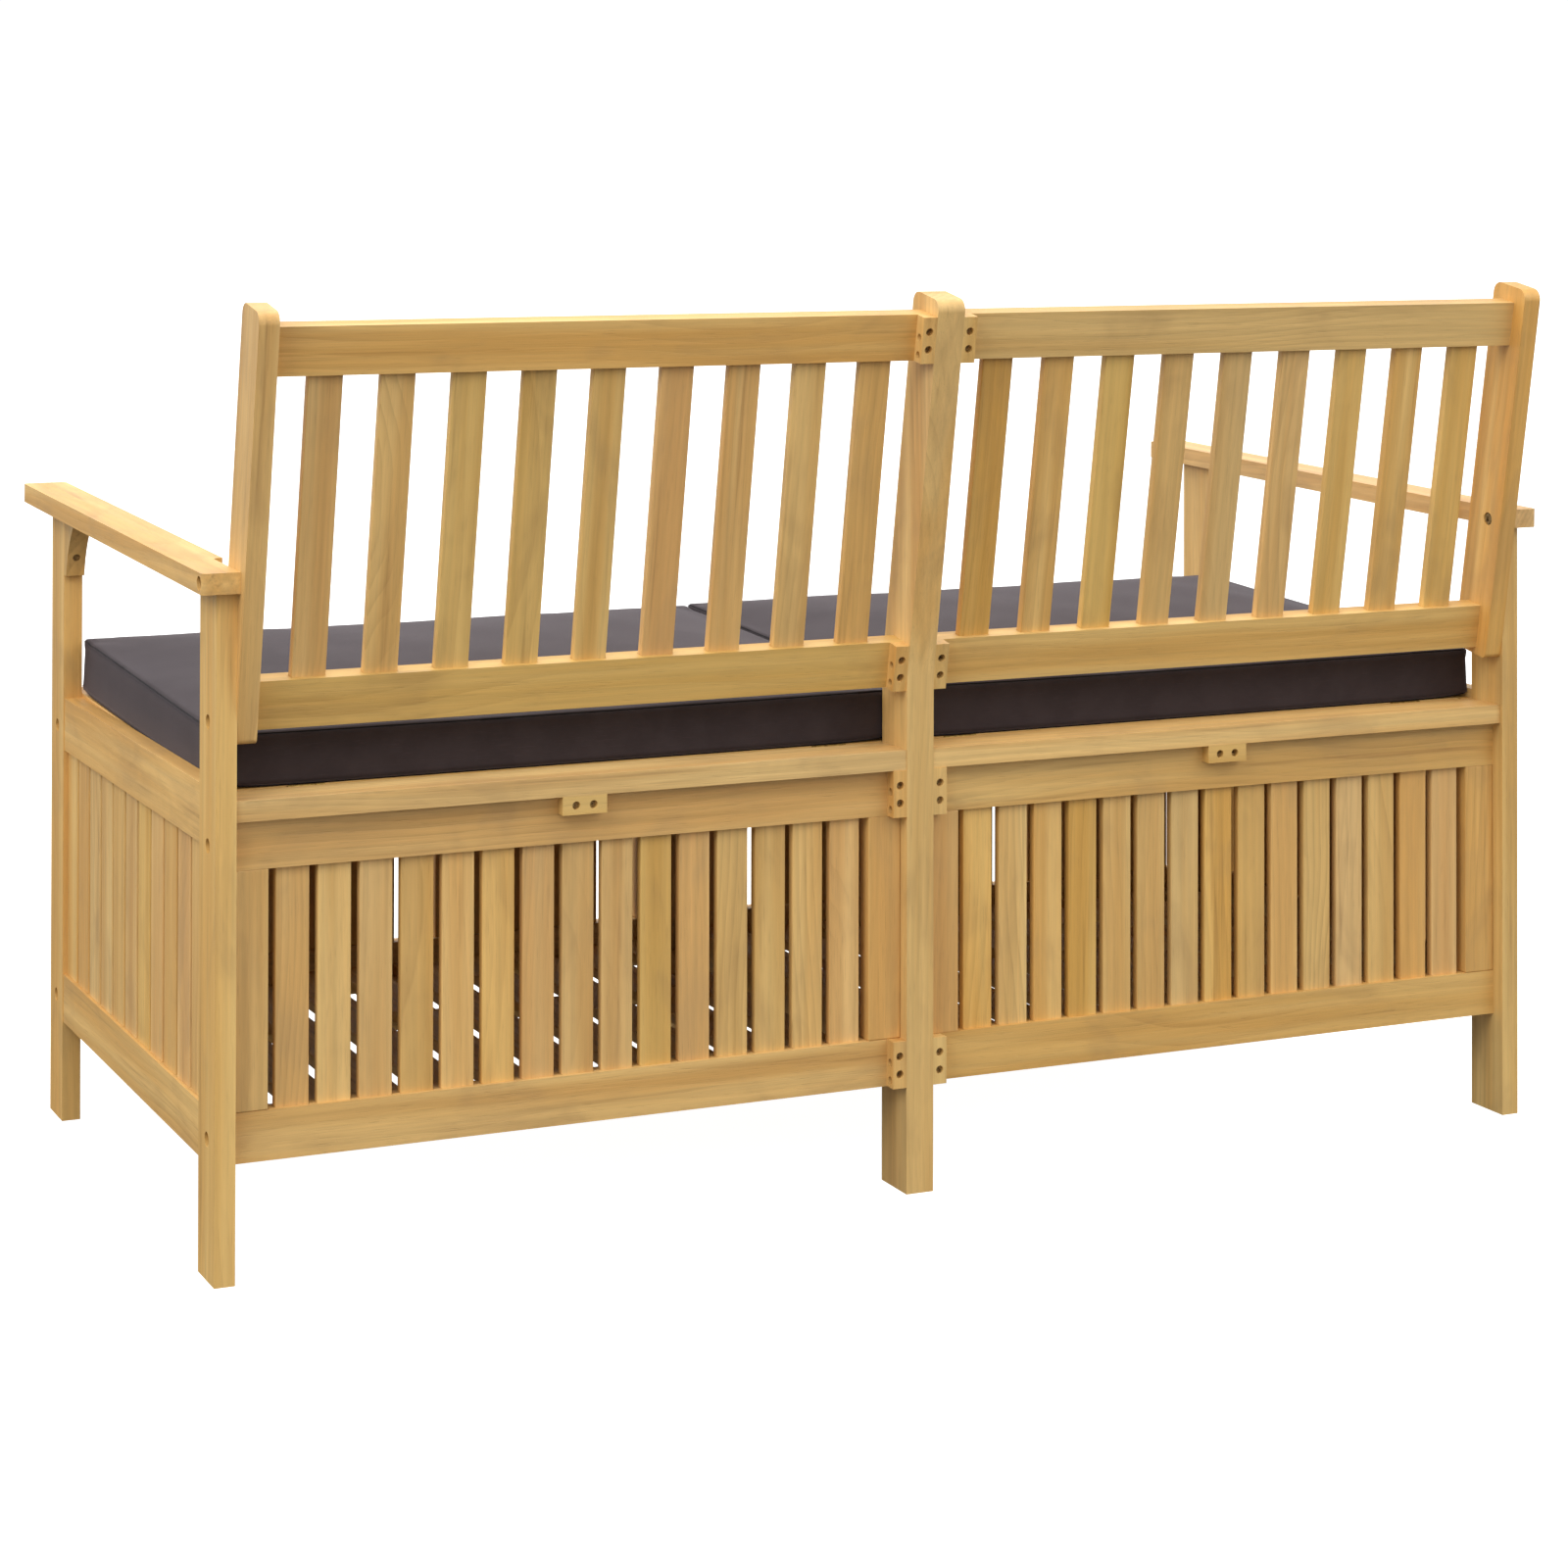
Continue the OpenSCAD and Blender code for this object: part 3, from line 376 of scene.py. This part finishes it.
def grain_of(name):
    """The axis that a node's grain follows; boards along the bench are the rest."""
    for axis, starts in GRAIN.items():
        if name.startswith(starts):
            return axis
    return "X"


def ease_group():
    """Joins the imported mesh's split points and shades it smooth, so that Bevel can round its edges."""
    group = bpy.data.node_groups.new("join_points", "GeometryNodeTree")
    group.interface.new_socket("Geometry", in_out="INPUT", socket_type="NodeSocketGeometry")
    group.interface.new_socket("Geometry", in_out="OUTPUT", socket_type="NodeSocketGeometry")
    start, end = group.nodes.new("NodeGroupInput"), group.nodes.new("NodeGroupOutput")
    drop = group.nodes.new("GeometryNodeRemoveAttribute")
    drop.inputs["Name"].default_value = "custom_normal"
    merge = group.nodes.new("GeometryNodeMergeByDistance")
    merge.inputs["Distance"].default_value = 0.00002
    smooth = group.nodes.new("GeometryNodeSetShadeSmooth")
    chain = [start, drop, merge, smooth, end]
    for a, b in zip(chain, chain[1:]):
        group.links.new(a.outputs["Geometry"] if "Geometry" in a.outputs else a.outputs[0],
                        b.inputs["Geometry"] if "Geometry" in b.inputs else b.inputs[0])
    return group


EASE = ease_group()


def ease_edges(obj, width):
    """Rounds a CAD node's edges for looks, with modifiers only."""
    obj.modifiers.new("join", "NODES").node_group = EASE
    flat = obj.modifiers.new("flat", "DECIMATE")
    flat.decimate_type = "DISSOLVE"
    flat.angle_limit = math.radians(1.0)
    bevel = obj.modifiers.new("ease", "BEVEL")
    bevel.width = width
    bevel.segments = 2
    bevel.limit_method = "ANGLE"
    bevel.angle_limit = math.radians(35)
    bevel.harden_normals = False
    normal = obj.modifiers.new("normals", "WEIGHTED_NORMAL")
    normal.keep_sharp = False


EASED, SMALL_EASE = 0.0014, 0.0008


def dress_frame():
    """A finish for every CAD node except the cushion ones, and rounded edges for the wooden ones."""
    for seed, (name, obj) in enumerate(sorted(nodes.items())):
        slot = slot_of[name]
        if slot == "cushion_fabric":
            continue
        if slot == "zinc_steel":
            material = ZINC
        elif slot == "hinge_brass":
            material = BRASS
        else:
            lean = RECLINE if name.startswith("back_") else 0.0
            material = wood(obj, grain_of(name), seed + 1, lean)
            small = name in ("corner_blocks", "board_blocks")
            ease_edges(obj, SMALL_EASE if small else EASED)
        for place in obj.material_slots:
            place.material = material


dress_frame()


# ---------- cushions ----------

def pillow_mesh(size, radius, step, rows):
    """A closed box with rounded upright corners: points, faces, and loops from upper to lower seam."""
    width, depth, height = size
    nx, ny = round(width / step), round(depth / step)
    x, y = np.meshgrid(np.linspace(-width / 2, width / 2, nx + 1),
                       np.linspace(-depth / 2, depth / 2, ny + 1), indexing="ij")
    a = np.clip((np.abs(x) - (width / 2 - radius)) / radius, 0, 1)
    b = np.clip((np.abs(y) - (depth / 2 - radius)) / radius, 0, 1)
    corner = (a > 0) & (b > 0)
    x = np.where(corner, np.sign(x) * (width / 2 - radius + radius * a * np.sqrt(1 - b * b / 2)), x)
    y = np.where(corner, np.sign(y) * (depth / 2 - radius + radius * b * np.sqrt(1 - a * a / 2)), y)
    flat = np.stack([x.ravel(), y.ravel()], 1)
    count = len(flat)
    index = np.arange(count).reshape(nx + 1, ny + 1)
    ring = np.concatenate([index[:-1, 0], index[-1, :-1], index[:0:-1, -1], index[0, :0:-1]])
    points = [np.column_stack([flat, np.full(count, height)]), np.column_stack([flat, np.zeros(count)])]
    for row in range(1, rows):
        points.append(np.column_stack([flat[ring], np.full(len(ring), height * (1 - row / rows))]))
    quads = np.stack([index[:-1, :-1], index[1:, :-1], index[1:, 1:], index[:-1, 1:]], -1)
    quads = quads.reshape(-1, 4)
    faces = [quads, (quads + count)[:, ::-1]]
    between = [2 * count + row * len(ring) + np.arange(len(ring)) for row in range(rows - 1)]
    loops = [ring] + between + [ring + count]
    for upper, lower in zip(loops, loops[1:]):
        faces.append(np.stack([lower, np.roll(lower, -1), np.roll(upper, -1), upper], -1))
    return np.concatenate(points), np.concatenate(faces), loops


def inflate(obj, start, loops, frames=20, pressure=4.0):
    """Blows the cover up round its filling with Cloth and returns where its points go."""
    hold = obj.vertex_groups.new(name="hold")
    hold.add(list(range(len(start))), 0.02, "REPLACE")
    hold.add([int(i) for i in np.flatnonzero(start[:, 2] < 1e-6)], 0.32, "REPLACE")
    hold.add([int(i) for i in loops[0]], 0.30, "REPLACE")
    cloth = obj.modifiers.new("cloth", "CLOTH")
    settings = cloth.settings
    settings.quality = 6
    settings.mass = 0.3
    settings.tension_stiffness = settings.compression_stiffness = 18
    settings.shear_stiffness = 6
    settings.bending_stiffness = 4.0
    settings.use_pressure = True
    settings.uniform_pressure_force = pressure
    settings.vertex_group_mass = "hold"
    settings.pin_stiffness = 1.0
    settings.effector_weights.gravity = 0
    cloth.collision_settings.use_collision = False
    cloth.point_cache.frame_start, cloth.point_cache.frame_end = 1, frames
    scene = bpy.context.scene
    for number in range(1, frames + 1):
        scene.frame_set(number)
    evaluated = obj.evaluated_get(bpy.context.evaluated_depsgraph_get())
    shape = np.array([v.co for v in evaluated.data.vertices])
    obj.modifiers.clear()
    obj.vertex_groups.clear()
    scene.frame_set(1)
    return shape


def smoothed(shape, faces, keep, turns):
    """Averages each point with its neighbours a few times, leaving the kept points."""
    sides = np.concatenate([faces[:, [a, (a + 1) % 4]] for a in range(4)])
    pairs = np.unique(np.sort(sides, 1), axis=0)
    both = np.concatenate([pairs, pairs[:, ::-1]])
    count = np.bincount(both[:, 0], minlength=len(shape))[:, None]
    for _ in range(turns):
        total = np.zeros_like(shape)
        np.add.at(total, both[:, 0], shape[both[:, 1]])
        shape = np.where(keep[:, None], shape, 0.4 * shape + 0.6 * total / count)
    return shape


SIDE_SWELL = 0.004
FRONT_LIFT = 0.0075
PUCKER, CORNER_CURL, DRIFT = 0.0012, 0.0045, 0.0007


def settle(start, shape, size, loops, reach, crown):
    """Caps the swelling, raises the front, fits the sides to reach and puckers the corners."""
    height = size[2]
    moved = shape - start
    top = start[:, 2] > height - 1e-6
    base = start[:, 2] < 1e-6
    rise = np.clip(moved[:, 2], 0, None)
    edge = np.zeros(len(start), bool)
    edge[loops[0]] = True
    moved[:, :2] = np.clip(moved[:, :2], -SIDE_SWELL, SIDE_SWELL)
    moved[np.concatenate([loops[0], loops[-1]]), :2] *= 0.45
    moved[:, 2] = np.where(top, rise * crown / rise[top].max(), np.clip(moved[:, 2], -0.0015, 0.0015))
    moved[edge, 2] = np.clip(moved[edge, 2], 0, 0.002)
    moved[base, 2] = 0
    place = start + moved
    forward = 0.5 - start[:, 1] / size[1]
    place[:, 2] += FRONT_LIFT * forward * np.clip(place[:, 2] / height, 0, 1)
    middle = loops[len(loops) // 2]
    for axis in (0, 1):
        side = middle[np.abs(start[middle, axis]) > size[axis] / 2 - 1e-4]
        place[:, axis] *= reach[axis] / np.percentile(np.abs(place[side, axis]), 60)
        place[:, axis] = np.clip(place[:, axis], -reach[axis], reach[axis])
    for sx in (-1, 1):
        for sy in (-1, 1):
            away = place[:, :2] - np.array([sx * reach[0], sy * reach[1]])
            distance = np.hypot(away[:, 0], away[:, 1])
            angle = np.arctan2(away[:, 1] * -sy, away[:, 0] * -sx)
            pucker = np.sin(angle * 11 + sx + 2 * sy)
            pucker *= np.exp(-distance / 0.055) * (1 - np.exp(-distance / 0.015))
            curl = np.exp(-distance / 0.022) * (1 - start[:, 2] / height)
            place[:, 2] += np.where(top & ~edge, PUCKER * pucker, 0)
            place[:, 2] += np.where(top, 0, CORNER_CURL * curl)
    drift = np.sin(place[:, 0] * 17 + 1.3 * size[0]) * np.sin(place[:, 1] * 14 + 0.7)
    drift += 0.6 * np.sin(place[:, 0] * 41 + place[:, 1] * 29)
    place[:, 2] += np.where(top & ~edge, DRIFT * drift, 0)
    return place


SEAM_WIDTH, SEAM_DEPTH = 0.0013, 0.0018


def sew(obj, loops):
    """Presses a narrow sewn groove along the upper and lower seams, gives its faces the dark second
    material as painted shade in the groove, then smooths the cover once.
    """
    work = bmesh.new()
    work.from_mesh(obj.data)
    work.verts.ensure_lookup_table()
    edges = []
    for loop in (loops[0], loops[-1]):
        ring = {int(i) for i in loop}
        edges += [e for e in work.edges if e.verts[0].index in ring and e.verts[1].index in ring
                  and {f.normal.z > 0.7 or f.normal.z < -0.7 for f in e.link_faces} == {True, False}]
    done = bmesh.ops.bevel(work, geom=edges, offset=SEAM_WIDTH, offset_type="OFFSET", segments=2,
                           profile=0.5, affect="EDGES", clamp_overlap=True)
    strip = set(done["faces"])
    work.normal_update()
    for vert in done["verts"]:
        if all(face in strip for face in vert.link_faces):
            vert.co -= vert.normal * SEAM_DEPTH
    # Painted shade: the groove faces take the dark second material, which stands in for the shade inside
    # the seam.
    for face in strip:
        face.material_index = 1
    bmesh.ops.subdivide_edges(work, edges=work.edges, cuts=1, use_grid_fill=True, smooth=0.6)
    bmesh.ops.recalc_face_normals(work, faces=work.faces)
    work.to_mesh(obj.data)
    work.free()
    obj.data.shade_smooth()


def seat_plane(node):
    """How a CAD cushion lies: the ways to the rear and up, and its extent along each."""
    mesh = nodes[node].data
    points = np.array([v.co for v in mesh.vertices])
    back = np.array([0, math.cos(SEAT_TILT), -math.sin(SEAT_TILT)])
    up = np.array([0, math.sin(SEAT_TILT), math.cos(SEAT_TILT)])
    along, over = points @ back, points @ up
    return back, up, along.min(), along.max(), over.min()


CUSHION_SIDE = 0.0495
CUSHION_NEAR, CUSHION_FAR = 0.0008, 0.7094


def cushion(side, name, node, body, lift, crown):
    """A box cushion with a sewn cover, crowned and puckered, resting where the CAD cushion rests."""
    back, up, front_at, rear_at, under = seat_plane(node)
    reach = ((CUSHION_FAR - CUSHION_NEAR) / 2, (rear_at - front_at) / 2)
    size = (2 * reach[0] - 0.004, 2 * reach[1] - 0.004, CUSHION_SIDE + lift)
    start, faces, loops = pillow_mesh(size, 0.011, 0.010, 5)
    mesh = bpy.data.meshes.new(name)
    mesh.from_pydata(start.tolist(), [], faces.tolist())
    obj = bpy.data.objects.new(name, mesh)
    bpy.context.scene.collection.objects.link(obj)
    shape = inflate(obj, start, loops)
    seams = np.zeros(len(start), bool)
    seams[np.concatenate([loops[0], loops[-1]])] = True
    shape = start + smoothed(shape - start, faces, seams, 12)
    place = settle(start, shape, size, loops, reach, crown)
    middle = side * (CUSHION_NEAR + CUSHION_FAR) / 2
    centre = (front_at + rear_at) / 2
    world = (np.outer(place[:, 1] + centre, back) + np.outer(place[:, 2] + under, up))
    world[:, 0] = middle + place[:, 0]
    mesh.vertices.foreach_set("co", world.ravel())
    mesh.update()
    sew(obj, loops)
    mesh.materials.append(CLOTH)
    mesh.materials.append(SEAM_PAINTED_SHADE)
    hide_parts(node)
    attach(obj, body)
    return obj


THREADS = 6200


def cushion_cloth(name, dark, light, thread):
    """Dull anthracite woven polyester."""
    material = bpy.data.materials.new(name)
    material.use_nodes = True
    t = Tree(material.node_tree)
    shader = material.node_tree.nodes["Principled BSDF"]
    place = t.add("ShaderNodeTexCoord").outputs["Object"]
    axes = t.add("ShaderNodeSeparateXYZ")
    t.put(axes, 0, t.vector("MULTIPLY", place, (THREADS, THREADS, THREADS)))
    sx, sy, sz = (t.math("SINE", axis) for axis in axes.outputs)
    weave = t.math("ADD", t.math("MULTIPLY", sx, sy), t.math("MULTIPLY", sy, sz))
    weave = t.math("ADD", weave, t.math("MULTIPLY", sx, sz))
    slub = t.noise(t.vector("MULTIPLY", place, (60, 900, 900)), 1.0, 2.0)
    mottle = t.noise(place, 22.0, 4.0, 0.6)
    tone = t.mix(t.ramp(mottle, 0.35, 0.65), dark, light)
    tone = t.mix(t.math("MULTIPLY", t.ramp(slub, 0.55, 0.75), 0.25), tone, thread)
    t.put(shader, "Base Color", tone)
    t.put(shader, "Roughness", t.math("MULTIPLY_ADD", slub, 0.15, 0.72))
    shader.inputs["Specular IOR Level"].default_value = 0.30
    shader.inputs["Sheen Weight"].default_value = 0.26
    shader.inputs["Sheen Roughness"].default_value = 0.45
    shader.inputs["Sheen Tint"].default_value = rgb(200, 192, 200)
    bump = t.add("ShaderNodeBump")
    t.put(bump, "Height", t.math("ADD", t.math("MULTIPLY", weave, 0.3), slub))
    bump.inputs["Strength"].default_value = 0.25
    bump.inputs["Distance"].default_value = 0.0003
    t.put(shader, "Normal", bump.outputs[0])
    return material


CLOTH = cushion_cloth("cushion_cloth", rgb(47, 38, 41), rgb(53, 44, 47), rgb(72, 62, 66))
# Painted shade: a near-black copy of the cloth for the seam grooves, which stands in for the shade in
# the crease.
SEAM_PAINTED_SHADE = cushion_cloth("cushion_seam_painted_shade", rgb(22, 17, 19), rgb(27, 21, 23), rgb(34, 28, 30))

for side, half, lift, crown in ((1, "left", 0.0, 0.024), (-1, "right", 0.0015, 0.026)):
    node = "cushion_" + half
    obj = cushion(side, "seat_" + node, node, node, lift, crown)
    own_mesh(obj)


# ---------- stage ----------

FLOOR_SIZE = 320


def plain_floor():
    """A wide pale floor that neither shades nor tints the bench."""
    bpy.ops.mesh.primitive_grid_add(x_subdivisions=12, y_subdivisions=12, size=FLOOR_SIZE)
    floor = bpy.context.object
    floor.name = "floor"
    material = bpy.data.materials.new("floor")
    material.use_nodes = True
    t = Tree(material.node_tree)
    shader = material.node_tree.nodes["Principled BSDF"]
    place = t.add("ShaderNodeTexCoord").outputs["Object"]
    paint = t.mix(t.noise(place, 3.0, 3.0), rgb(200, 200, 200), rgb(206, 206, 206))
    t.put(shader, "Base Color", paint)
    glow = t.mix(t.noise(place, 3.0, 3.0), rgb(252, 252, 252), rgb(255, 255, 255))
    t.put(shader, "Emission Color", glow)
    shader.inputs["Emission Strength"].default_value = 0.96
    shader.inputs["Roughness"].default_value = 0.9
    shader.inputs["Specular IOR Level"].default_value = 0.0
    floor.data.materials.append(material)
    floor.visible_diffuse = floor.visible_glossy = floor.visible_shadow = False


def soft_light(name, place, target, size, power):
    """A square area light at place, facing target."""
    lamp = bpy.data.lights.new(name, "AREA")
    lamp.shape = "RECTANGLE"
    lamp.size = lamp.size_y = size
    lamp.energy = power
    obj = bpy.data.objects.new(name, lamp)
    bpy.context.scene.collection.objects.link(obj)
    obj.location = place
    obj.rotation_euler = (Vector(target) - Vector(place)).to_track_quat("-Z", "Y").to_euler()


SKY_BELOW, SKY_ABOVE = 0.10, 1.05
KEY, FILL, TOP = 60, 22, 40


def make_stage():
    """The floor, a white sky above a dim underside, and three soft lights."""
    plain_floor()
    world = bpy.data.worlds.new("world")
    bpy.context.scene.world = world
    world.use_nodes = True
    t = Tree(world.node_tree)
    background = world.node_tree.nodes["Background"]
    way = t.add("ShaderNodeSeparateXYZ")
    t.put(way, 0, t.add("ShaderNodeTexCoord").outputs["Generated"])
    background.inputs["Color"].default_value = (1.0, 1.0, 1.0, 1.0)
    t.put(background, "Strength", t.ramp(way.outputs["Z"], -0.10, -0.02, SKY_BELOW, SKY_ABOVE))
    soft_light("key", (3.1, 1.7, 3.1), (0.2, 0, 0.8), 2.2, KEY)
    soft_light("fill", (-2.2, 2.4, 2.7), (0, 0, 0.7), 2.2, FILL)
    soft_light("top", (0.0, -0.5, 3.4), (0, 0, 0.4), 3.0, TOP)


CAMERA_AT = (1.6051, 3.4673, 1.0489)
PITCH, YAW, ROLL = (math.radians(angle) for angle in (90.64, 155.92, 0.11))


def photo_camera():
    """A level camera behind the bench's near end."""
    camera = bpy.data.cameras.new("camera")
    obj = bpy.data.objects.new("camera", camera)
    bpy.context.scene.collection.objects.link(obj)
    camera.sensor_width = 36.0
    camera.lens = 80.035
    camera.shift_x = 0.0291
    camera.shift_y = -0.4289
    camera.clip_end = 500
    obj.location = CAMERA_AT
    turn = Euler((PITCH, 0, YAW)).to_matrix() @ Matrix.Rotation(ROLL, 3, "Z")
    obj.rotation_euler = turn.to_euler()
    bpy.context.scene.camera = obj


make_stage()
photo_camera()
bpy.context.scene.view_settings.view_transform = "Standard"
